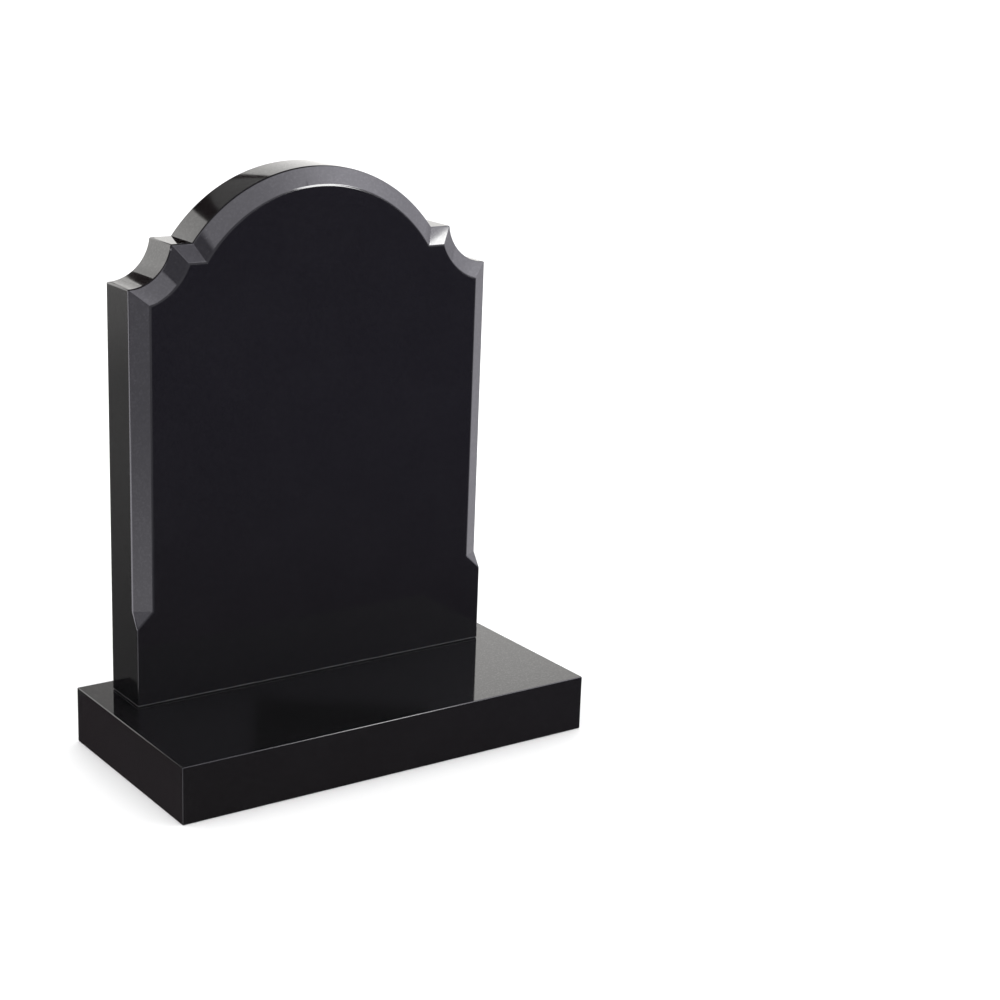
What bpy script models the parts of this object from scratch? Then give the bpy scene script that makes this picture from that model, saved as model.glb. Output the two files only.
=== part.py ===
"""An upright headstone: an arched tablet of polished black stone on a rectangular base.

Metres, +Z up. The origin is the centre of the base's underside. X runs along the
width, and the inscription face looks towards -Y.
"""

import math

import bmesh
import bpy
from mathutils import Vector

# The base, a plain slab.
BASE_WIDTH = 0.6096
BASE_DEPTH = 0.3048
BASE_HEIGHT = 0.0762

# The tablet, an upright slab near the back of the base.
TABLET_WIDTH = 0.5334
TABLET_HEIGHT = 0.6858
TABLET_THICKNESS = 0.0762
BACK_MARGIN = 0.0286  # base left showing behind the tablet
BED_GAP = 0.0003  # between the base's top and the tablet's foot

# The head: an arch in the middle, then on each side a square check and a concave scoop.
ARCH_RISE = 0.0889
CHECK_WIDTH = 0.0300
SCOOP_WIDTH = 0.0590
SCOOP_DROP = 0.0525

# The chamfer round the front edge, which stops above the foot in a three-cornered facet.
CHAMFER_WIDTH = 0.0234
CHAMFER_DEPTH = 0.0145
STOP_HEIGHT = 0.1270  # of the facet's upper edge, above the tablet's foot
STOP_DROP = 0.0210  # from the facet's upper edge down to its point

# Every outer edge is eased by a narrow arris, so that the polished stone doesn't chip.
ARRIS = 0.0015
ARRIS_SEGMENTS = 2
SHARP_ANGLE = math.radians(25)

ARCH_SEGMENTS = 64
SCOOP_SEGMENTS = 16
WELD = 1e-5
FLAT_ANGLE = math.radians(0.2)

STONE_COLOUR = (0.010, 0.010, 0.012, 1.0)
STONE_ROUGHNESS = 0.06


def clear_scene():
    """Leaves an empty scene."""
    for obj in list(bpy.data.objects):
        bpy.data.objects.remove(obj, do_unlink=True)


def stone_material(name):
    """Polished black stone."""
    material = bpy.data.materials.new(name)
    material.use_nodes = True
    shader = material.node_tree.nodes["Principled BSDF"]
    shader.inputs["Base Color"].default_value = STONE_COLOUR
    shader.inputs["Roughness"].default_value = STONE_ROUGHNESS
    shader.inputs["Metallic"].default_value = 0.0
    return material


def arc(centre, start, end, segments):
    """Points on a circular arc the shorter way round, with both ends."""
    spoke = start - centre
    sweep = spoke.angle_signed(end - centre)
    turn = [sweep * i / segments for i in range(segments + 1)]
    return [
        centre + Vector((
            spoke.x * math.cos(a) + spoke.y * math.sin(a),
            spoke.y * math.cos(a) - spoke.x * math.sin(a),
        ))
        for a in turn
    ]


def head_outline(inset):
    """The tablet's outline above the stop, as (x, z) points over its foot.

    It is drawn the given distance inside the true edge. It starts at the bottom on
    the right and runs over the head to the bottom on the left.
    """
    side = TABLET_WIDTH / 2
    check_level = TABLET_HEIGHT - ARCH_RISE

    # The scoop is struck from a point above the shoulder, and leaves it level.
    scoop_radius = (SCOOP_WIDTH**2 + SCOOP_DROP**2) / (2 * SCOOP_DROP)
    scoop_centre = Vector((side, check_level - SCOOP_DROP + scoop_radius))
    scoop_inset = scoop_radius + inset
    above_check = scoop_centre.y - check_level + inset
    shoulder = Vector((side - inset, scoop_centre.y - math.sqrt(scoop_inset**2 - inset**2)))
    check_outer = Vector((side - math.sqrt(scoop_inset**2 - above_check**2), check_level - inset))

    # The arch stands on the inner ends of the two checks.
    half_span = side - SCOOP_WIDTH - CHECK_WIDTH
    arch_radius = (half_span**2 + ARCH_RISE**2) / (2 * ARCH_RISE)
    arch_centre = Vector((0, TABLET_HEIGHT - arch_radius))
    springing = check_level - inset - arch_centre.y
    check_inner = Vector((math.sqrt((arch_radius - inset)**2 - springing**2), check_level - inset))
    crown = arch_centre + Vector((0, arch_radius - inset))

    right = [Vector((side - inset, STOP_HEIGHT))]
    right += arc(scoop_centre, shoulder, check_outer, SCOOP_SEGMENTS)
    right += arc(arch_centre, check_inner, crown, ARCH_SEGMENTS // 2)
    left = [Vector((-point.x, point.y)) for point in reversed(right[:-1])]
    return right + left


def loop(bm, outline, depth):
    """Adds a closed loop of edges, and returns its edges."""
    verts = [bm.verts.new((x, depth, z)) for x, z in outline]
    return [bm.edges.new(pair) for pair in zip(verts, verts[1:] + verts[:1])]


def extrude(bm, face, offset):
    """Extrudes one face by an offset, and returns the face at its far end."""
    made = bmesh.ops.extrude_face_region(bm, geom=[face, *face.edges])["geom"]
    moved = [item for item in made if isinstance(item, bmesh.types.BMVert)]
    bmesh.ops.translate(bm, verts=moved, vec=offset)
    return next(item for item in made if isinstance(item, bmesh.types.BMFace))


def chamfered_head(bm):
    """Makes the tablet above the stop, and returns the face that it ends in there."""
    back = TABLET_THICKNESS / 2
    rings = [
        loop(bm, head_outline(0), back),
        loop(bm, head_outline(0), CHAMFER_DEPTH - back),
        loop(bm, head_outline(CHAMFER_WIDTH), -back),
    ]
    for near, far in zip(rings, rings[1:]):
        bmesh.ops.bridge_loops(bm, edges=near + far)
    for end in (rings[0], rings[-1]):
        bmesh.ops.contextual_create(bm, geom=end)
    underside = [face for face in bm.faces if max(v.co.z for v in face.verts) < STOP_HEIGHT + WELD]
    return bmesh.ops.dissolve_faces(bm, faces=underside)["region"][0]


def stopped_foot(bm, section):
    """Carries the tablet down from the stop to its foot.

    Over the height of the stop both corners of the chamfer run into one point on
    the front edge, which leaves a three-cornered facet. Below it the foot is square.
    """
    square = extrude(bm, section, Vector((0, 0, -STOP_DROP)))
    for vert in square.verts:
        if vert.co.y < TABLET_THICKNESS / 2 - WELD:
            vert.co.x = math.copysign(TABLET_WIDTH / 2, vert.co.x)
            vert.co.y = -TABLET_THICKNESS / 2
    extrude(bm, square, Vector((0, 0, STOP_DROP - STOP_HEIGHT)))
    bmesh.ops.remove_doubles(bm, verts=bm.verts, dist=WELD)
    bmesh.ops.dissolve_limit(bm, angle_limit=FLAT_ANGLE, verts=bm.verts, edges=bm.edges)


def finish(bm, name, location, material):
    """Turns the bmesh into an object of polished stone with its outer edges eased."""
    bmesh.ops.recalc_face_normals(bm, faces=bm.faces)
    mesh = bpy.data.meshes.new(name)
    bm.to_mesh(mesh)
    bm.free()
    mesh.materials.append(material)
    mesh.shade_smooth()
    mesh.set_sharp_from_angle(angle=SHARP_ANGLE)
    obj = bpy.data.objects.new(name, mesh)
    obj.location = location
    bpy.context.scene.collection.objects.link(obj)
    arris = obj.modifiers.new("arris", "BEVEL")
    arris.width = ARRIS
    arris.segments = ARRIS_SEGMENTS
    arris.limit_method = "ANGLE"
    arris.angle_limit = SHARP_ANGLE
    return obj


def make_tablet(material):
    """The upright slab, with its foot just clear of the base's top."""
    bm = bmesh.new()
    stopped_foot(bm, chamfered_head(bm))
    middle = BASE_DEPTH / 2 - BACK_MARGIN - TABLET_THICKNESS / 2
    return finish(bm, "tablet", (0, middle, BASE_HEIGHT + BED_GAP), material)


def make_base(material):
    """The slab that the tablet stands on."""
    bm = bmesh.new()
    bmesh.ops.create_cube(bm, size=1.0)
    bmesh.ops.scale(bm, vec=(BASE_WIDTH, BASE_DEPTH, BASE_HEIGHT), verts=bm.verts)
    return finish(bm, "base", (0, 0, BASE_HEIGHT / 2), material)


def main():
    """Builds both pieces under one empty at the origin."""
    clear_scene()
    memorial = bpy.data.objects.new("headstone", None)
    bpy.context.scene.collection.objects.link(memorial)
    make_base(stone_material("base_stone")).parent = memorial
    make_tablet(stone_material("tablet_stone")).parent = memorial


main()
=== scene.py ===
"""The looks of a headstone: an arched tablet of polished black stone on its base.

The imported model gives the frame. Each stone is modelled again with finer curves and
rounder arrises, and gets the grain and polish of black granite.
"""

import logging
import math
from dataclasses import dataclass
from enum import Enum

import bmesh
import bpy
from mathutils import Matrix, Vector


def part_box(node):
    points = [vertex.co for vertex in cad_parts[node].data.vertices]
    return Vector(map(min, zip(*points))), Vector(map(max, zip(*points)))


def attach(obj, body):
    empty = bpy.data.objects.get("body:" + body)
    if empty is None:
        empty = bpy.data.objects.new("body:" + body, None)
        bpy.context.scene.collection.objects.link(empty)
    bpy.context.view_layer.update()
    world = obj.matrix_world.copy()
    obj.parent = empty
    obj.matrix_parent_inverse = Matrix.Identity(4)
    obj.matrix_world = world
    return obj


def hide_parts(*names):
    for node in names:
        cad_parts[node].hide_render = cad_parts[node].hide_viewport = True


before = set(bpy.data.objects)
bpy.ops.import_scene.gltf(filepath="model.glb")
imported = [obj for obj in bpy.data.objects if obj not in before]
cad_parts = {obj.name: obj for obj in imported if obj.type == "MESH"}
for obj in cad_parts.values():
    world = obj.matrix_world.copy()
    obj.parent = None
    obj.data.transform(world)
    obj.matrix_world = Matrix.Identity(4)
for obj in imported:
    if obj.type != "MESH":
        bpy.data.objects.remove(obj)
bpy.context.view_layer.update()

LOG = logging.getLogger("headstone")

WELD = 1e-5
FLAT_ANGLE = math.radians(0.05)
CRISP_ANGLE = math.radians(8)
EASED_ANGLE = math.radians(25)
ARRIS_LAYER = "arris"

# The middle of a noise, and where most of its values lie.
NOISE_MIDDLE = 0.5
NOISE_BAND = (0.35, 0.65)

# The ray depth of a thing seen in a first and in a second reflection. Cycles counts
# one more for the world than for a surface.
SURFACE_DEPTHS = (1.0, 2.0)
WORLD_DEPTHS = (2.0, 3.0)

Span = tuple[float, float]
Point = tuple[float, float, float]
Colour = tuple[float, float, float]
Socket = bpy.types.NodeSocket
Signal = Socket | float | Colour


class Slot(Enum):
    """The material slots, by name."""

    TABLET = "tablet_stone"
    BASE = "base_stone"


# Short ways to build a node tree.

class Graph:
    """A node tree, with short ways to add nodes and to join them up."""

    def __init__(self, tree: bpy.types.NodeTree) -> None:
        """Takes the tree to build in."""
        self.tree = tree

    def feed(self, socket: Socket, signal: Signal) -> None:
        """Gives an input a constant, or joins an output to it.

        Args:
            socket: The input.
            signal: What it gets.
        """
        if isinstance(signal, Socket):
            self.tree.links.new(signal, socket)
        elif socket.type == "RGBA":
            socket.default_value = (*signal, 1.0)
        else:
            socket.default_value = signal

    def add(
        self, kind: str, inputs: dict[str | int, Signal] | None = None, **settings: object,
    ) -> bpy.types.Node:
        """Adds a node.

        Args:
            kind: Blender's name for the node type.
            inputs: A constant or another node's output, for inputs by name or number.
            settings: The node's own settings.

        Returns:
            The new node.
        """
        node = self.tree.nodes.new(kind)
        for name, setting in settings.items():
            setattr(node, name, setting)
        for key, signal in (inputs or {}).items():
            self.feed(node.inputs[key], signal)
        return node

    def math(self, operation: str, *values: Signal) -> Socket:
        """Works out one step of arithmetic.

        Args:
            operation: Blender's name for the step.
            values: What it works on.

        Returns:
            The result.
        """
        return self.add("ShaderNodeMath", dict(enumerate(values)), operation=operation).outputs[0]

    def ramp(
        self, value: Signal, start: float, end: float, low: float = 0.0, high: float = 1.0,
    ) -> Socket:
        """Eases from low to high while another value goes from start to end.

        Args:
            value: The value that steers it.
            start: Where the change begins.
            end: Where it ends.
            low: The result before the start.
            high: The result after the end.

        Returns:
            The result.
        """
        ends = {"Value": value, "From Min": start, "From Max": end, "To Min": low, "To Max": high}
        return self.add("ShaderNodeMapRange", ends, interpolation_type="SMOOTHSTEP").outputs["Result"]

    def mix(self, share: Signal, first: Signal, second: Signal) -> Socket:
        """Mixes two colours.

        Args:
            share: How much of the second colour there is.
            first: The first colour.
            second: The second colour.

        Returns:
            The mixed colour.
        """
        node = self.add("ShaderNodeMix", data_type="RGBA")
        for name, signal in (("Factor_Float", share), ("A_Color", first), ("B_Color", second)):
            self.feed(next(socket for socket in node.inputs if socket.identifier == name), signal)
        return next(socket for socket in node.outputs if socket.identifier == "Result_Color")

    def blend(self, share: Signal, first: Signal, second: Signal) -> Socket:
        """Goes from the first value to the second as the share goes from 0 to 1."""
        return self.math("MULTIPLY_ADD", share, self.math("SUBTRACT", second, first), first)

    def noise(self, vector: Signal, scale: Signal, detail: float = 2.0) -> Socket:
        """Adds a smooth noise whose values lie round 0.5.

        Args:
            vector: Where it is read.
            scale: Its waves to a metre.
            detail: How many finer layers it has.

        Returns:
            The noise.
        """
        inputs = {"Vector": vector, "Scale": scale, "Detail": detail}
        return self.add("ShaderNodeTexNoise", inputs).outputs[0]


# Effects that both stones use.

class Effect:
    """A shader node group, built once and placed in each material with its own values."""

    name: str = ""
    values: dict[str, float] = {}
    outputs: tuple[str, ...] = ()

    def compose(self, graph: Graph, given: bpy.types.NodeOutputs, result: bpy.types.NodeInputs) -> None:
        """Builds the effect's own nodes.

        Args:
            graph: The group's tree.
            given: The group's inputs, as the nodes inside see them.
            result: Where the group's outputs are fed.
        """
        raise NotImplementedError

    def tree(self) -> bpy.types.NodeTree:
        """Makes the group, or finds it where it has been made before.

        Returns:
            The group's tree.
        """
        if self.name in bpy.data.node_groups:
            return bpy.data.node_groups[self.name]
        tree = bpy.data.node_groups.new(self.name, "ShaderNodeTree")
        tree.interface.new_socket("Vector", in_out="INPUT", socket_type="NodeSocketVector")
        for name, value in self.values.items():
            socket = tree.interface.new_socket(name, in_out="INPUT", socket_type="NodeSocketFloat")
            socket.default_value = value
        for name in self.outputs:
            tree.interface.new_socket(name, in_out="OUTPUT", socket_type="NodeSocketFloat")
        graph = Graph(tree)
        given, result = graph.add("NodeGroupInput"), graph.add("NodeGroupOutput")
        self.compose(graph, given.outputs, result.inputs)
        return tree

    def place(self, graph: Graph, values: dict[str, Signal]) -> bpy.types.NodeOutputs:
        """Places the group in a material.

        Args:
            graph: The material's tree.
            values: What its inputs get.

        Returns:
            The group's outputs.
        """
        node = graph.add("ShaderNodeGroup", node_tree=self.tree())
        for name, signal in values.items():
            graph.feed(node.inputs[name], signal)
        return node.outputs


class GraniteGrain(Effect):
    """The crystals, rare pale flecks and slow clouds of granite."""

    name = "granite grain"
    values = {"Crystal Scale": 600.0, "Fleck Share": 0.01, "Cloud Scale": 12.0}
    outputs = ("Crystal", "Fleck", "Cloud")
    fleck_edge: Span = (0.25, 0.55)
    cloud_detail: float = 4.0

    def compose(self, graph: Graph, given: bpy.types.NodeOutputs, result: bpy.types.NodeInputs) -> None:
        """Builds one cell to a crystal, and chooses a few of the cells as flecks.

        Args:
            graph: The group's tree.
            given: The group's inputs, as the nodes inside see them.
            result: Where the group's outputs are fed.
        """
        place = given["Vector"]
        cells = graph.add("ShaderNodeTexVoronoi", {"Vector": place, "Scale": given["Crystal Scale"]})
        tones = graph.add("ShaderNodeSeparateColor", {0: cells.outputs["Color"]}).outputs
        chosen = graph.math("LESS_THAN", tones[1], given["Fleck Share"])
        core = graph.ramp(cells.outputs["Distance"], *self.fleck_edge, 1.0, 0.0)
        graph.feed(result["Crystal"], tones[0])
        graph.feed(result["Fleck"], graph.math("MULTIPLY", chosen, core))
        graph.feed(result["Cloud"], graph.noise(place, given["Cloud Scale"], self.cloud_detail))


class ArrisWear(Effect):
    """The edges, which are rubbed by hand and so less polished than the faces."""

    name = "arris wear"
    values = {"Arris": 0.0, "Least": 0.6}
    outputs = ("Wear",)
    wear_scale: float = 70.0
    wear_detail: float = 3.0

    def compose(self, graph: Graph, given: bpy.types.NodeOutputs, result: bpy.types.NodeInputs) -> None:
        """Breaks the mask of the arrises up along their length.

        Args:
            graph: The group's tree.
            given: The group's inputs, as the nodes inside see them.
            result: Where the group's outputs are fed.
        """
        rubbed = graph.noise(given["Vector"], self.wear_scale, self.wear_detail)
        patchy = graph.ramp(rubbed, *NOISE_BAND)
        strength = graph.blend(patchy, given["Least"], 1.0)
        graph.feed(result["Wear"], graph.math("MULTIPLY", given["Arris"], strength))


class PolishRelief(Effect):
    """The faint unevenness that a polished face keeps."""

    name = "polish relief"
    values = {"Wave Scale": 22.0, "Pit Scale": 900.0}
    outputs = ("Relief", "Haze")
    relief_detail: float = 1.0
    pit_share: float = 0.02
    haze_scale: float = 5.0
    haze_detail: float = 5.0
    haze_band: Span = (0.35, 0.70)

    def compose(self, graph: Graph, given: bpy.types.NodeOutputs, result: bpy.types.NodeInputs) -> None:
        """Adds a slow wave with fine pits, and a haze where the polish is duller.

        Args:
            graph: The group's tree.
            given: The group's inputs, as the nodes inside see them.
            result: Where the group's outputs are fed.
        """
        wave = graph.noise(given["Vector"], given["Wave Scale"], self.relief_detail)
        pits = graph.noise(given["Vector"], given["Pit Scale"], self.relief_detail)
        haze = graph.noise(given["Vector"], self.haze_scale, self.haze_detail)
        graph.feed(result["Relief"], graph.math("MULTIPLY_ADD", pits, self.pit_share, wave))
        graph.feed(result["Haze"], graph.ramp(haze, *self.haze_band))


class SawnBed(Effect):
    """The underside of a stone, left as the saw cut it."""

    name = "sawn bed"
    values = {"Level": 0.0, "Depth": 0.0006, "Cut Scale": 130.0}
    outputs = ("Sawn", "Cuts")
    cut_wander: float = 1.5
    cut_detail: float = 3.0

    def compose(self, graph: Graph, given: bpy.types.NodeOutputs, result: bpy.types.NodeInputs) -> None:
        """Masks all that lies within a depth above the level, and cuts it with saw marks.

        Args:
            graph: The group's tree.
            given: The group's inputs, as the nodes inside see them.
            result: Where the group's outputs are fed.
        """
        height = graph.add("ShaderNodeSeparateXYZ", {0: given["Vector"]}).outputs[2]
        above = graph.math("SUBTRACT", height, given["Level"])
        sawn = graph.math("LESS_THAN", above, given["Depth"])
        cuts = graph.add("ShaderNodeTexWave", {
            "Vector": given["Vector"], "Scale": given["Cut Scale"],
            "Distortion": self.cut_wander, "Detail": self.cut_detail,
        }, wave_type="BANDS", bands_direction="X").outputs["Fac"]
        graph.feed(result["Sawn"], sawn)
        graph.feed(result["Cuts"], graph.math("MULTIPLY", sawn, cuts))


@dataclass(frozen=True)
class PolishedGranite:
    """Black granite with a mirror polish, honed arrises and a sawn bed."""

    slot: Slot
    bed: float
    dark: Colour = (0.0044, 0.0043, 0.0046)
    pale: Colour = (0.0074, 0.0072, 0.0079)
    fleck: Colour = (0.025, 0.025, 0.027)
    honed: Colour = (0.0098, 0.0098, 0.0102)
    sawn: Colour = (0.135, 0.136, 0.140)
    # A pale band painted along the stone's foot, a few millimetres high, and its ragged top.
    foot_band: Colour = (0.070, 0.071, 0.074)
    foot_band_height: float = 0.0
    foot_band_scale: float = 45.0
    foot_band_rise: float = 0.6
    foot_band_edge: Span = (0.5, 0.8)
    crystals: float = 600.0
    clouds: float = 12.0
    cloudiness: float = 0.22
    glassy_crystals: Span = (0.55, 1.0)
    glassy_coat: float = 0.22
    coat_roughness: float = 0.03
    refraction: float = 1.56
    roughness_polished: float = 0.045
    roughness_haze: float = 0.012
    roughness_honed: float = 0.12
    roughness_sawn: float = 0.68
    relief_height: float = 1.1e-5
    cut_height: float = 9e-5

    def foot_band_mask(self, graph: Graph, place: Socket) -> Signal:
        """Masks a pale band painted along the stone's foot, a few millimetres above its bed.

        Args:
            graph: The material's tree.
            place: The place on the stone.

        Returns:
            The mask, which is broken up along the foot.
        """
        if not self.foot_band_height:
            return 0.0
        height = graph.add("ShaderNodeSeparateXYZ", {0: place}).outputs[2]
        ragged = graph.noise(place, self.foot_band_scale)
        top = graph.math("MULTIPLY_ADD", ragged, self.foot_band_rise * self.foot_band_height, self.bed)
        over = graph.math("SUBTRACT", height, top)
        low, high = (part * self.foot_band_height for part in self.foot_band_edge)
        return graph.ramp(over, low, high, 1.0, 0.0)

    def build(self) -> bpy.types.Material:
        """Builds the material.

        Returns:
            The stone, named after its slot.
        """
        material = bpy.data.materials.new(self.slot.value)
        material.use_nodes = True
        graph = Graph(material.node_tree)
        shader = material.node_tree.nodes["Principled BSDF"].inputs
        place = graph.add("ShaderNodeTexCoord").outputs["Object"]
        edge = graph.add("ShaderNodeAttribute", attribute_type="GEOMETRY", attribute_name=ARRIS_LAYER)

        grain = GraniteGrain().place(graph, {
            "Vector": place, "Crystal Scale": self.crystals, "Cloud Scale": self.clouds,
        })
        wear = ArrisWear().place(graph, {"Vector": place, "Arris": edge.outputs["Fac"]})["Wear"]
        polish = PolishRelief().place(graph, {"Vector": place})
        bed = SawnBed().place(graph, {"Vector": place, "Level": self.bed})
        # A pale band painted along the lowest few millimetres of the stone.
        foot_band = self.foot_band_mask(graph, place)

        tone = graph.blend(self.cloudiness, grain["Crystal"], graph.ramp(grain["Cloud"], *NOISE_BAND))
        colour = graph.mix(tone, self.dark, self.pale)
        colour = graph.mix(grain["Fleck"], colour, self.fleck)
        colour = graph.mix(wear, colour, self.honed)
        colour = graph.mix(bed["Sawn"], colour, self.sawn)
        roughness = graph.math(
            "MULTIPLY_ADD", polish["Haze"], self.roughness_haze, self.roughness_polished,
        )
        roughness = graph.blend(wear, roughness, self.roughness_honed)
        roughness = graph.blend(bed["Sawn"], roughness, self.roughness_sawn)
        if isinstance(foot_band, Socket):
            colour = graph.mix(foot_band, colour, self.foot_band)
            roughness = graph.blend(foot_band, roughness, self.roughness_sawn)

        # The crystals take the polish unequally.
        glassy = graph.ramp(grain["Crystal"], *self.glassy_crystals, 0.0, self.glassy_coat)
        bare = graph.math("SUBTRACT", 1.0, graph.math("MAXIMUM", wear, bed["Sawn"]))
        graph.feed(shader["Base Color"], colour)
        graph.feed(shader["Roughness"], roughness)
        graph.feed(shader["Coat Weight"], graph.math("MULTIPLY", glassy, bare))
        shader["Coat Roughness"].default_value = self.coat_roughness
        shader["IOR"].default_value = self.refraction

        cuts = graph.math("MULTIPLY", bed["Cuts"], self.cut_height)
        height = graph.math("MULTIPLY_ADD", polish["Relief"], self.relief_height, cuts)
        bump = graph.add("ShaderNodeBump", {"Height": height, "Distance": 1.0, "Strength": 1.0})
        graph.feed(shader["Normal"], bump.outputs[0])
        return material


# Modelling in bmesh.

def arc(
    centre: Vector, start: Vector, end: Vector, segments: int, run_in: float, run_out: float,
) -> list[Vector]:
    """Walks along a circular arc the shorter way round.

    A longer piece at an end that meets a corner leaves room there for the arris.

    Args:
        centre: The arc's centre.
        start: Its first point.
        end: A point on the spoke through its last point.
        segments: How many equal pieces stand for it between the longer ones.
        run_in: The length of a longer piece at its start, or 0 for none.
        run_out: The length of a longer piece at its end, or 0 for none.

    Returns:
        The points, with both ends.
    """
    spoke = start - centre
    sweep = spoke.angle_signed(end - centre)
    first, last = (math.copysign(length / spoke.length, sweep) for length in (run_in, run_out))
    step = (sweep - first - last) / segments
    even = [first + step * i for i in range(segments + 1)]
    turns = [0.0] * bool(run_in) + even + [sweep] * bool(run_out)
    return [
        centre + Vector((
            spoke.x * math.cos(a) + spoke.y * math.sin(a),
            spoke.y * math.cos(a) - spoke.x * math.sin(a),
        ))
        for a in turns
    ]


def add_loop(bm: bmesh.types.BMesh, outline: list[Vector], depth: float) -> list[bmesh.types.BMEdge]:
    """Adds a closed loop of edges that stands upright.

    Args:
        bm: The mesh being built.
        outline: The loop's (x, z) points.
        depth: The loop's place along Y.

    Returns:
        The new edges.
    """
    verts = [bm.verts.new((x, depth, z)) for x, z in outline]
    return [bm.edges.new(pair) for pair in zip(verts, verts[1:] + verts[:1])]


def extrude_face(bm: bmesh.types.BMesh, face: bmesh.types.BMFace, offset: Vector) -> bmesh.types.BMFace:
    """Extrudes one face.

    Args:
        bm: The mesh being built.
        face: The face to extrude.
        offset: How far, and which way.

    Returns:
        The face at the far end.
    """
    made = bmesh.ops.extrude_face_region(bm, geom=[face, *face.edges])["geom"]
    moved = [item for item in made if isinstance(item, bmesh.types.BMVert)]
    bmesh.ops.translate(bm, verts=moved, vec=offset)
    return next(item for item in made if isinstance(item, bmesh.types.BMFace))


def is_sloping(face: bmesh.types.BMFace) -> bool:
    """Says whether a face belongs to the chamfer."""
    return WELD < abs(face.normal.y) < 1 - WELD


def round_off(
    bm: bmesh.types.BMesh, edges: list[bmesh.types.BMEdge], width: float, segments: int,
) -> None:
    """Rounds some edges, and marks the new faces in the arris layer.

    Args:
        bm: The mesh being built.
        edges: The edges to round.
        width: How far each arris reaches into its two faces.
        segments: The faces across an arris.
    """
    rounded = bmesh.ops.bevel(
        bm, geom=edges, offset=width, segments=segments, affect="EDGES",
        profile=0.5, material=-1, clamp_overlap=False,
    )
    layer = bm.faces.layers.float[ARRIS_LAYER]
    for face in rounded["faces"]:
        face[layer] = 1.0


def ease_edges(bm: bmesh.types.BMesh, arris: float, mitre: float, segments: int) -> None:
    """Rounds every outer edge, and the outer mitres of the chamfer by less.

    Args:
        bm: The mesh being built.
        arris: The width of the outer edges' arris on each of its two faces.
        mitre: The same for a mitre, where two sloping faces of the chamfer meet.
        segments: The faces across an arris. A mitre has half as many.
    """
    layer = bm.faces.layers.float.new(ARRIS_LAYER)
    bm.normal_update()
    convex = [edge for edge in bm.edges if edge.is_convex and edge.calc_face_angle() > EASED_ANGLE]
    round_off(bm, [e for e in convex if not all(is_sloping(f) for f in e.link_faces)], arris, segments)
    bm.normal_update()
    mitres = [
        edge for edge in bm.edges
        if edge.is_convex and edge.calc_face_angle() > EASED_ANGLE
        and all(is_sloping(face) and not face[layer] for face in edge.link_faces)
    ]
    if mitres:
        round_off(bm, mitres, mitre, segments // 2)


def shading_normals(bm: bmesh.types.BMesh) -> list[Vector]:
    """Works out normals that keep the flats flat, so that what they reflect stays straight.

    A flat only blends with flats that turn by a little, as along the arch. An arris
    takes up the normals of the flats beside it, and is round in between.

    Args:
        bm: The finished mesh, with its arrises marked.

    Returns:
        One normal to each corner of each face, in order.
    """
    bm.normal_update()
    layer = bm.faces.layers.float[ARRIS_LAYER]
    normals = []
    for face in bm.faces:
        for corner in face.loops:
            around = [(loop.face, loop.calc_angle()) for loop in corner.vert.link_loops]
            flats = [(near, angle) for near, angle in around if not near[layer]]
            if flats:
                lead = min(flats, key=lambda flat: flat[0].normal.angle(face.normal))[0].normal
                around = [flat for flat in flats if flat[0].normal.angle(lead) < CRISP_ANGLE]
            normals.append(sum((near.normal * angle for near, angle in around), Vector()).normalized())
    return normals


def new_object(bm: bmesh.types.BMesh, name: str, material: bpy.types.Material) -> bpy.types.Object:
    """Turns a bmesh into an object of one material.

    Args:
        bm: The finished mesh, in its place. It is freed.
        name: The object's name.
        material: What it is made of.

    Returns:
        The new object, in the scene.
    """
    mesh = bpy.data.meshes.new(name)
    bm.to_mesh(mesh)
    bm.free()
    mesh.materials.append(material)
    made = bpy.data.objects.new(name, mesh)
    bpy.context.scene.collection.objects.link(made)
    return made


def finish_stone(bm: bmesh.types.BMesh, node: str, finish: PolishedGranite) -> bpy.types.Object:
    """Turns a bmesh into a stone that stands for a CAD node.

    Args:
        bm: The finished mesh, in its place. It is freed.
        node: The CAD node that it replaces.
        finish: Its stone.

    Returns:
        The new object, which rides on the frame.
    """
    normals = shading_normals(bm)
    stone = new_object(bm, f"{node}_polished", finish.build())
    stone.data.shade_smooth()
    stone.data.normals_split_custom_set(normals)
    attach(stone, "root")
    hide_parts(node)
    return stone


# The two stones.

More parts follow.
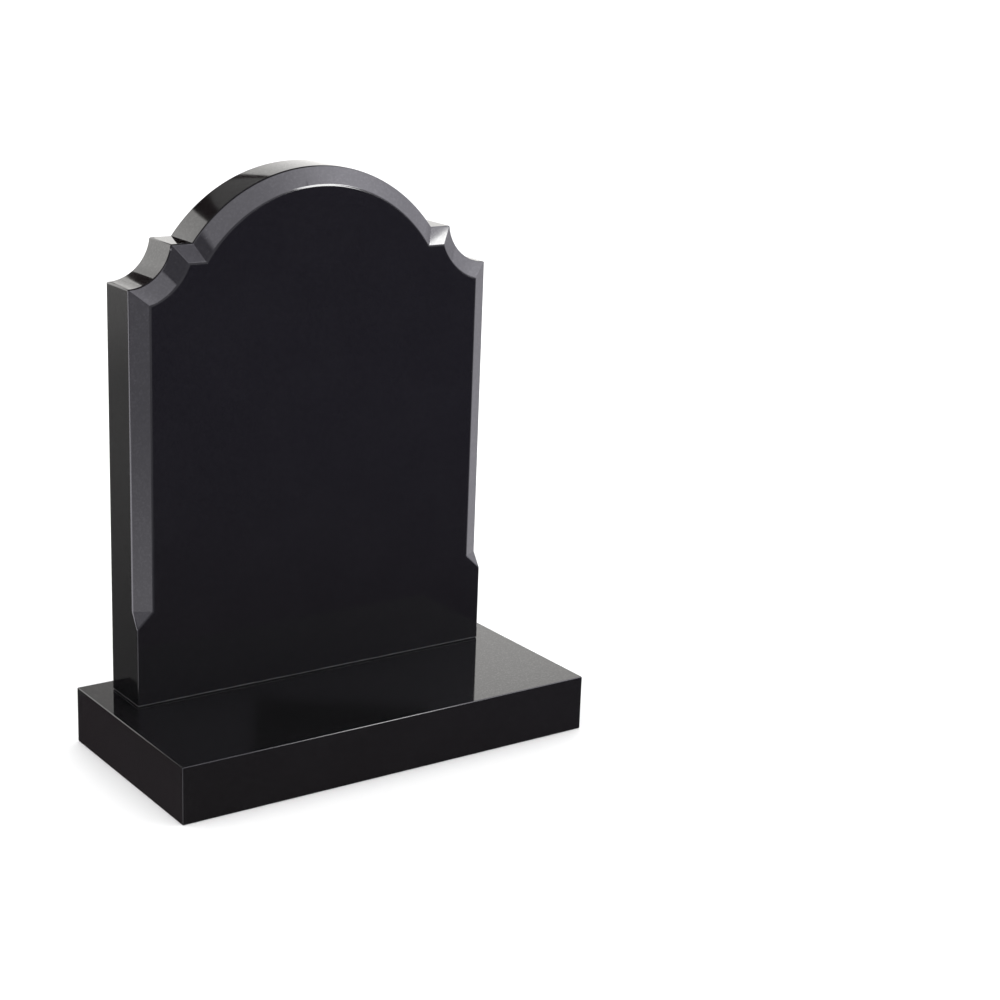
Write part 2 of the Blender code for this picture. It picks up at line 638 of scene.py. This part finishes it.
@dataclass(frozen=True)
class HeadOutline:
    """The outline of the tablet's head: an arch, two square checks and two scoops."""

    width: float
    height: float
    stop_height: float
    arch_rise: float = 0.0889
    check_width: float = 0.0300
    scoop_width: float = 0.0590
    scoop_drop: float = 0.0525
    arch_segments: int = 300
    scoop_segments: int = 64
    corner_room: float = 0.0065

    def points(self, inset: float) -> list[Vector]:
        """Draws the outline above the chamfer's stop, inside the true edge.

        Args:
            inset: How far inside the true edge it runs.

        Returns:
            The (x, z) points over the tablet's foot, from the bottom on the right
            over the head to the bottom on the left.
        """
        side = self.width / 2
        check_level = self.height - self.arch_rise

        # The scoop is struck from a point above the shoulder, and leaves it level.
        scoop_radius = (self.scoop_width**2 + self.scoop_drop**2) / (2 * self.scoop_drop)
        scoop_centre = Vector((side, check_level - self.scoop_drop + scoop_radius))
        reach = scoop_radius + inset
        above = scoop_centre.y - check_level + inset
        shoulder = Vector((side - inset, scoop_centre.y - math.sqrt(reach**2 - inset**2)))
        check_outer = Vector((side - math.sqrt(reach**2 - above**2), check_level - inset))

        # The arch stands on the inner ends of the two checks.
        half_span = side - self.scoop_width - self.check_width
        arch_radius = (half_span**2 + self.arch_rise**2) / (2 * self.arch_rise)
        arch_centre = Vector((0, self.height - arch_radius))
        springing = check_level - inset - arch_centre.y
        half_inset = math.sqrt((arch_radius - inset)**2 - springing**2)
        check_inner = Vector((half_inset, check_level - inset))
        crown = arch_centre + Vector((0, arch_radius - inset))

        right = [Vector((side - inset, self.stop_height))]
        room = self.corner_room
        right += arc(scoop_centre, shoulder, check_outer, self.scoop_segments, room, room)
        right += arc(arch_centre, check_inner, crown, self.arch_segments // 2, room, 0)
        left = [Vector((-point.x, point.y)) for point in reversed(right[:-1])]
        return right + left


@dataclass(frozen=True)
class Tablet:
    """The upright slab, with one wide chamfer round its front that stops above the foot."""

    low: Vector
    high: Vector
    chamfer_width: float = 0.0234
    chamfer_depth: float = 0.0145
    stop_height: float = 0.1270
    stop_drop: float = 0.0210
    arris: float = 0.0018
    mitre: float = 0.0005
    arris_segments: int = 5
    # The height of the pale band painted along the tablet's foot.
    foot_band_height: float = 0.0022

    @property
    def size(self) -> Vector:
        """The tablet's width, thickness and height."""
        return self.high - self.low

    @property
    def finish(self) -> PolishedGranite:
        """The tablet's stone, with a pale band painted along its foot."""
        return PolishedGranite(Slot.TABLET, bed=self.low.z, foot_band_height=self.foot_band_height)

    def chamfered_head(self, bm: bmesh.types.BMesh) -> bmesh.types.BMFace:
        """Makes the tablet above the stop.

        Args:
            bm: The mesh being built.

        Returns:
            The flat face that it ends in below, at the stop.
        """
        outline = HeadOutline(self.size.x, self.size.z, self.stop_height)
        back = self.size.y / 2
        rings = [
            add_loop(bm, outline.points(0), back),
            add_loop(bm, outline.points(0), self.chamfer_depth - back),
            add_loop(bm, outline.points(self.chamfer_width), -back),
        ]
        for near, far in zip(rings, rings[1:]):
            bmesh.ops.bridge_loops(bm, edges=near + far)
        for end in (rings[0], rings[-1]):
            bmesh.ops.contextual_create(bm, geom=end)
        stop = self.stop_height + WELD
        underside = [face for face in bm.faces if max(v.co.z for v in face.verts) < stop]
        return bmesh.ops.dissolve_faces(bm, faces=underside)["region"][0]

    def stopped_foot(self, bm: bmesh.types.BMesh, section: bmesh.types.BMFace) -> None:
        """Carries the tablet down to its foot, with a three-cornered facet at each stop.

        Args:
            bm: The mesh being built.
            section: The face at the stop, which is carried down.
        """
        half_width, half_depth = self.size.x / 2, self.size.y / 2
        square = extrude_face(bm, section, Vector((0, 0, -self.stop_drop)))
        for vert in square.verts:
            if vert.co.y < half_depth - WELD:
                vert.co.x = math.copysign(half_width, vert.co.x)
                vert.co.y = -half_depth
        extrude_face(bm, square, Vector((0, 0, self.stop_drop - self.stop_height)))
        bmesh.ops.remove_doubles(bm, verts=bm.verts, dist=WELD)
        bmesh.ops.dissolve_limit(bm, angle_limit=FLAT_ANGLE, verts=bm.verts, edges=bm.edges)

    def build(self) -> bpy.types.Object:
        """Builds the tablet.

        Returns:
            The piece, in its place on the base.
        """
        bm = bmesh.new()
        self.stopped_foot(bm, self.chamfered_head(bm))
        bmesh.ops.recalc_face_normals(bm, faces=bm.faces)
        ease_edges(bm, self.arris, self.mitre, self.arris_segments)
        foot = Vector((0, (self.low.y + self.high.y) / 2, self.low.z))
        bmesh.ops.translate(bm, verts=bm.verts, vec=foot)
        return finish_stone(bm, "tablet", self.finish)


@dataclass(frozen=True)
class Base:
    """The rectangular slab that the tablet stands on."""

    low: Vector
    high: Vector
    arris: float = 0.0013
    arris_segments: int = 5

    @property
    def finish(self) -> PolishedGranite:
        """The base's stone."""
        return PolishedGranite(Slot.BASE, bed=self.low.z)

    def build(self) -> bpy.types.Object:
        """Builds the base.

        Returns:
            The piece, in its place.
        """
        bm = bmesh.new()
        bmesh.ops.create_cube(bm, size=1.0)
        bmesh.ops.scale(bm, vec=self.high - self.low, verts=bm.verts)
        bmesh.ops.translate(bm, vec=(self.high + self.low) / 2, verts=bm.verts)
        ease_edges(bm, self.arris, self.arris, self.arris_segments)
        return finish_stone(bm, "base", self.finish)


# The studio.

@dataclass(frozen=True)
class Card:
    """A flat panel of soft light, which only the polish sees.

    Its light goes from the first value at its lower edge to the second at its upper
    edge. A reflection of a reflection doesn't see it.
    """

    name: str
    middle: Point
    facing: Point
    wide: Span
    tall: Span
    light: Span
    tint: Colour = (1.0, 1.0, 1.0)
    mottle: float = 0.0
    mottle_scale: float = 45.0
    mottle_detail: float = 3.0

    @property
    def lean(self) -> float:
        """The share of its height that the card keeps as it leans."""
        return Vector(self.facing).normalized().xy.length

    def build(self) -> bpy.types.Object:
        """Sets the card up.

        Returns:
            The card, which is part of the stage.
        """
        material = bpy.data.materials.new(self.name)
        material.use_nodes = True
        graph = Graph(material.node_tree)
        material.node_tree.nodes.remove(material.node_tree.nodes["Principled BSDF"])
        place = graph.add("ShaderNodeTexCoord").outputs["Object"]
        height = graph.add("ShaderNodeSeparateXYZ", {0: place}).outputs[2]
        low, high = (self.middle[2] + reach * self.lean for reach in self.tall)
        light = graph.ramp(height, low, high, *self.light)
        fine = graph.noise(place, self.mottle_scale, self.mottle_detail)
        patchy = graph.math("SUBTRACT", fine, NOISE_MIDDLE)
        light = graph.math("MULTIPLY", light, graph.math("MULTIPLY_ADD", patchy, self.mottle, 1.0))
        depth = graph.add("ShaderNodeLightPath").outputs["Ray Depth"]
        light = graph.math("MULTIPLY", light, graph.ramp(depth, *SURFACE_DEPTHS, 1.0, 0.0))
        glow = graph.add("ShaderNodeEmission", {"Color": self.tint, "Strength": light})
        graph.feed(material.node_tree.nodes["Material Output"].inputs["Surface"], glow.outputs[0])
        material.cycles.emission_sampling = "NONE"

        ahead = Vector(self.facing).normalized()
        across = Vector((0, 0, 1)).cross(ahead).normalized()
        up = ahead.cross(across)
        bm = bmesh.new()
        corners = [(self.wide[i], self.tall[j]) for i, j in ((0, 0), (1, 0), (1, 1), (0, 1))]
        verts = [bm.verts.new(Vector(self.middle) + across * u + up * v) for u, v in corners]
        bmesh.ops.contextual_create(bm, geom=verts)
        card = new_object(bm, self.name, material)
        card.visible_camera = card.visible_diffuse = card.visible_shadow = False
        return card


@dataclass(frozen=True)
class Patch:
    """A soft-edged part of the room that the polish reflects, in degrees round the stone.

    Its light goes from the first value to the second between two elevations.
    """

    around: Span
    above: Span
    light: Span
    change: Span = (0.0, 1.0)
    soft: tuple[float, float] = (4.0, 4.0)

    def build(self, graph: Graph, azimuth: Socket, elevation: Socket) -> Socket:
        """Works the patch's light out for each direction.

        Args:
            graph: The world's tree.
            azimuth: The direction's angle round the stone, from the front, in degrees.
            elevation: Its angle above the horizon, in degrees.

        Returns:
            The light, which is 0 outside the patch.
        """
        light = graph.ramp(elevation, *self.change, *self.light)
        for angle, (start, end), soft in (
            (azimuth, self.around, self.soft[0]), (elevation, self.above, self.soft[1]),
        ):
            half = soft / 2
            rise = graph.ramp(angle, start - half, start + half)
            fall = graph.ramp(angle, end - half, end + half, 1.0, 0.0)
            light = graph.math("MULTIPLY", graph.math("MULTIPLY", light, rise), fall)
        return light


@dataclass(frozen=True)
class Studio:
    """A pale floor in soft even light, and the room and cards that the polish reflects."""

    background: float = 1.15
    soft_light: float = 1.53
    floor_size: float = 16.0
    floor_colour: Colour = (0.93, 0.93, 0.93)
    floor_level: float = -0.0004
    floor_shade: float = 0.98
    floor_scale: float = 30.0
    floor_detail: float = 3.0
    floor_roughness: float = 0.9
    room_front: Colour = (0.105, 0.092, 0.160)
    room_behind: Colour = (0.022, 0.012, 0.011)
    room_low: Colour = (0.080, 0.066, 0.072)
    front_to_behind: Span = (-0.2, 0.4)
    low_to_high: Span = (-26.0, -12.0)
    patch_tint: Colour = (1.0, 0.98, 1.06)
    window_facing: tuple[float, float] = (50.0, 33.0)
    window_light: float = 2.4
    window_spread: float = 13.6
    window_sill: Span = (-3.0, 3.0)
    second_bounce: float = 0.45
    softbox_middle: Point = (1.0275, -1.2751, 1.3943)
    softbox_facing: Point = (-1.0275, 1.3151, -0.6743)
    wall_middle: Point = (-0.4995, 1.8642, 0.0)
    wall_facing: Point = (0.2588, -0.9659, 0.0)
    wall_tint: Colour = (1.0, 0.985, 0.965)

    @property
    def patches(self) -> tuple[Patch, ...]:
        """Lists the parts of the room that are lighter than the rest.

        Returns:
            The patches. Where two overlap, the brighter one counts.
        """
        return (
            Patch((-34, 125), (30.5, 58), (1.95, 1.95), soft=(8, 3)),
            Patch((-80, -34), (30.5, 58), (1.07, 1.07), soft=(8, 3)),
            Patch((60, 88), (-30, 36), (1.25, 2.0), change=(-8, 12), soft=(5, 4)),
            Patch((85, 134), (-30, 36), (1.25, 1.52), change=(-8, 12), soft=(5, 4)),
            Patch((-78, -27), (-42, -6), (1.64, 0.90), change=(-20, -13.5), soft=(4, 3)),
            Patch((-62, 24), (-4, 32), (0.42, 0.42), soft=(8, 10)),
            Patch((-124, -46), (-13, 8), (3.8, 3.8), soft=(5, 2.5)),
        )

    def wall(self, name: str, wide: Span, tall: Span, light: Span, forward: float = 0.0) -> Card:
        """Gives one part of the wall behind the stone.

        Args:
            name: The part's name.
            wide: Where it starts and ends along the wall.
            tall: Where it starts and ends above the floor's level.
            light: Its light at the bottom and at the top.
            forward: How far it stands in front of the wall.

        Returns:
            The part of the wall, as a card.
        """
        middle = Vector(self.wall_middle) + Vector(self.wall_facing) * forward
        return Card(name, tuple(middle), self.wall_facing, wide, tall, light, self.wall_tint)

    @property
    def cards(self) -> tuple[Card, ...]:
        """Lists the softbox in front, the flag that shades one facet, and the wall behind.

        Returns:
            The cards.
        """
        softbox = self.softbox_middle, self.softbox_facing
        return (
            Card("softbox", *softbox, (-0.03, 0.38), (-0.55, 0.548), (18.0, 18.0)),
            Card("softbox head", *softbox, (-0.43, -0.03), (0.15, 0.5405), (19.0, 19.0)),
            Card("flag", (0.935, -1.292, 2.444), (-1.14, 1.33, -1.79),
                 (-0.048, 0.048), (-0.048, 0.048), (1.1, 1.1), (0.98, 0.95, 1.10), 2.6),
            self.wall("wall end", (-1.0, 0.2), (0.30, 1.30), (2.0, 2.0)),
            self.wall("wall left", (-1.0, 0.2), (1.30, 1.645), (2.0, 1.40)),
            self.wall("wall middle", (0.2, 0.8), (0.30, 1.552), (1.6, 1.6)),
            self.wall("wall right", (0.8, 3.2), (0.30, 1.25), (1.46, 1.46)),
            self.wall("wall right head", (0.8, 3.2), (1.25, 1.70), (1.46, 1.24)),
            self.wall("wall above", (0.2, 2.2), (1.74, 2.6), (0.25, 0.21)),
            self.wall("wall below", (-1.0, 0.1), (0.06, 0.30), (0.23, 0.45)),
            self.wall("wall foot", (-1.0, 0.1), (-0.62, 0.06), (0.10, 0.23)),
            self.wall("grey card", (0.9, 1.3), (0.60, 1.15), (0.54, 0.54), 0.08),
        )

    def window_glow(self, graph: Graph, way: Socket, elevation: Socket) -> Socket:
        """Works out the glow round the window, which falls off to every side.

        Args:
            graph: The world's tree.
            way: The direction.
            elevation: Its angle above the horizon, in degrees.

        Returns:
            The glow's light.
        """
        turn, rise = (math.radians(angle) for angle in self.window_facing)
        level = math.cos(rise)
        window = (level * math.sin(turn), -level * math.cos(turn), math.sin(rise))
        near = graph.add("ShaderNodeVectorMath", {0: way, 1: window}, operation="DOT_PRODUCT")
        away = graph.math("SUBTRACT", near.outputs["Value"], 1.0)
        fall = graph.math("EXPONENT", graph.math("MULTIPLY", away, self.window_spread))
        above = graph.ramp(elevation, *self.window_sill, 0.0, self.window_light)
        return graph.math("MULTIPLY", fall, above)

    def room_light(self, graph: Graph) -> Socket:
        """Works out the light that the polish meets in each direction of the room.

        Args:
            graph: The world's tree.

        Returns:
            The light's colour.
        """
        way = graph.add("ShaderNodeTexCoord").outputs["Generated"]
        x, y, z = graph.add("ShaderNodeSeparateXYZ", {0: way}).outputs
        azimuth = graph.math("DEGREES", graph.math("ARCTAN2", x, graph.math("MULTIPLY", y, -1.0)))
        elevation = graph.math("DEGREES", graph.math("ARCSINE", z))
        light: Signal = 0.0
        for patch in self.patches:
            light = graph.math("MAXIMUM", light, patch.build(graph, azimuth, elevation))
        light = graph.math("ADD", light, self.window_glow(graph, way, elevation))
        depth = graph.add("ShaderNodeLightPath").outputs["Ray Depth"]
        seen = graph.ramp(depth, *WORLD_DEPTHS, 1.0, self.second_bounce)
        light = graph.math("MULTIPLY", light, seen)
        dark = graph.mix(graph.ramp(y, *self.front_to_behind), self.room_front, self.room_behind)
        dark = graph.mix(graph.ramp(elevation, *self.low_to_high), self.room_low, dark)
        tinted = graph.add("ShaderNodeVectorMath", {0: self.patch_tint}, operation="SCALE")
        graph.feed(tinted.inputs["Scale"], light)
        both = graph.add("ShaderNodeVectorMath", {0: tinted.outputs[0], 1: dark}, operation="ADD")
        return both.outputs[0]

    def build_world(self) -> None:
        """Lights the room: white for the camera, even for the floor, shaped for the polish."""
        world = bpy.data.worlds.new("studio")
        world.use_nodes = True
        world.cycles.sampling_method = "NONE"
        graph = Graph(world.node_tree)
        rays = graph.add("ShaderNodeLightPath").outputs
        plain = graph.blend(rays["Is Camera Ray"], self.soft_light, self.background)
        light = graph.mix(rays["Is Glossy Ray"], plain, self.room_light(graph))
        graph.feed(world.node_tree.nodes["Background"].inputs["Color"], light)
        bpy.context.scene.world = world

    def build_floor(self) -> bpy.types.Object:
        """Lays the floor.

        Returns:
            The floor, which is part of the stage.
        """
        material = bpy.data.materials.new("pale floor")
        material.use_nodes = True
        graph = Graph(material.node_tree)
        shader = material.node_tree.nodes["Principled BSDF"].inputs
        place = graph.add("ShaderNodeTexCoord").outputs["Object"]
        fine = graph.noise(place, self.floor_scale, self.floor_detail)
        darker = tuple(self.floor_shade * part for part in self.floor_colour)
        graph.feed(shader["Base Color"], graph.mix(fine, darker, self.floor_colour))
        shader["Roughness"].default_value = self.floor_roughness
        bm = bmesh.new()
        bmesh.ops.create_grid(bm, x_segments=1, y_segments=1, size=self.floor_size / 2)
        bmesh.ops.translate(bm, verts=bm.verts, vec=(0, 0, self.floor_level))
        floor = new_object(bm, "floor", material)
        floor.visible_glossy = False
        return floor

    def build(self) -> None:
        """Builds the studio and sets the way that colours are shown."""
        self.build_world()
        self.build_floor()
        for card in self.cards:
            card.build()
        view = bpy.context.scene.view_settings
        view.view_transform = "Standard"
        view.look = "None"


@dataclass(frozen=True)
class Camera:
    """The camera, at the photograph's place and angle."""

    place: Point = (-1.3389, -2.2076, 1.0873)
    yaw: float = -0.6280
    pitch: float = -0.2824
    roll: float = 0.0388
    lens: float = 73.42
    sensor: float = 36.0

    def build(self) -> bpy.types.Object:
        """Adds the camera and makes it the scene's.

        Returns:
            The camera object.
        """
        data = bpy.data.cameras.new("camera")
        data.lens = self.lens
        data.sensor_width = self.sensor
        camera = bpy.data.objects.new("camera", data)
        level = Vector((math.cos(self.yaw), math.sin(self.yaw), 0))
        forward = Vector((
            -math.sin(self.yaw) * math.cos(self.pitch),
            math.cos(self.yaw) * math.cos(self.pitch),
            math.sin(self.pitch),
        ))
        upright = level.cross(forward)
        right = level * math.cos(self.roll) + upright * math.sin(self.roll)
        up = upright * math.cos(self.roll) - level * math.sin(self.roll)
        camera.matrix_world = Matrix((
            (right.x, up.x, -forward.x, self.place[0]),
            (right.y, up.y, -forward.y, self.place[1]),
            (right.z, up.z, -forward.z, self.place[2]),
            (0, 0, 0, 1),
        ))
        bpy.context.scene.collection.objects.link(camera)
        bpy.context.scene.camera = camera
        return camera


def main() -> None:
    """Builds the stones, the studio and the camera."""
    logging.basicConfig(level=logging.INFO, format="%(name)s: %(message)s")
    for stone in (Tablet(*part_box("tablet")), Base(*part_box("base"))):
        piece = stone.build()
        LOG.info("%s: %d faces", piece.name, len(piece.data.polygons))
    Studio().build()
    Camera().build()


if __name__ == "__main__":
    main()
